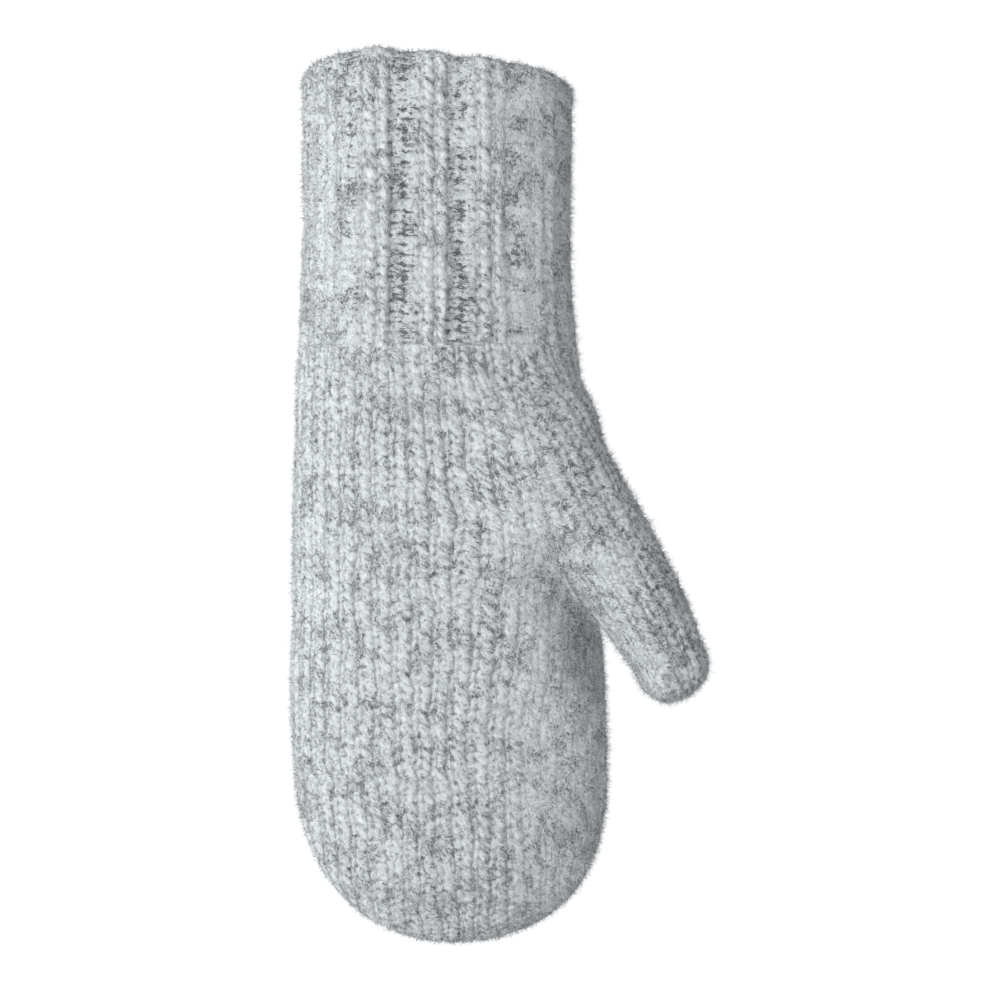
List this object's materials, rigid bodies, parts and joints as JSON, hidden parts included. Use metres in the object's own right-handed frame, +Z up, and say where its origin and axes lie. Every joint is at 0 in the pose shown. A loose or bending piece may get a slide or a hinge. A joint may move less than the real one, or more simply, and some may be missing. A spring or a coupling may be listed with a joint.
{
  "type": "mitten",
  "caption": "Left-hand mitten of thick felted marled wool with a long ribbed cuff, a gusset and a separate thumb; it bends at the wrist, fingers and thumb.",
  "frame": {"origin": "on the flat underside the mitten lies on, under the middle of the hand", "axes": "lying palm up: +X towards the thumb side, +Y from the fingertips to the cuff, +Z up out of the palm"},
  "size_m": [0.1314, 0.2789, 0.0491],
  "materials": {
    "felted_knit": "felted marled wool, matt, fuzzy",
    "rib_knit": "felted marled wool in 2 by 2 rib, matt, fuzzy",
    "yarn": "thick plied marled wool yarn, matt"
  },
  "bodies": {
    "hand": {"hand_shell": "felted_knit", "rib_end": "rib_knit", "wrist_rib": "rib_knit", "thumb_gusset": "felted_knit", "thumb_root": "felted_knit", "finger_pouch": "felted_knit"},
    "cuff": {"ribbed_cuff": "rib_knit", "cast_on_edge": "yarn", "cuff_yarn_end": "yarn"},
    "fingers": {"finger_tip": "felted_knit", "tip_drawn_loop": "yarn", "tip_yarn_end": "yarn"},
    "thumb": {"thumb_tube": "felted_knit", "thumb_tip": "felted_knit", "thumb_drawn_loop": "yarn", "thumb_yarn_end": "yarn"}
  },
  "joints": [
    {"name": "wrist_bend", "type": "hinge", "parent": "hand", "child": "cuff", "pos_m": [-0.0044, 0.102, 0.0215], "axis": [1, 0, 0], "range_deg": [-30, 45], "stiffness_Nm_per_rad": 0.2, "deforming": ["wrist_rib"]},
    {"name": "finger_curl", "type": "hinge", "parent": "hand", "child": "fingers", "pos_m": [0, -0.047, 0.0225], "axis": [-1, 0, 0], "range_deg": [-10, 65], "stiffness_Nm_per_rad": 0.25, "deforming": ["finger_pouch"]},
    {"name": "thumb_swing", "type": "hinge", "parent": "hand", "child": "thumb", "pos_m": [0.0601, -0.0154, 0.0315], "axis": [0, 0, 1], "range_deg": [-15, 20], "stiffness_Nm_per_rad": 0.03, "deforming": ["thumb_root"]}
  ]
}
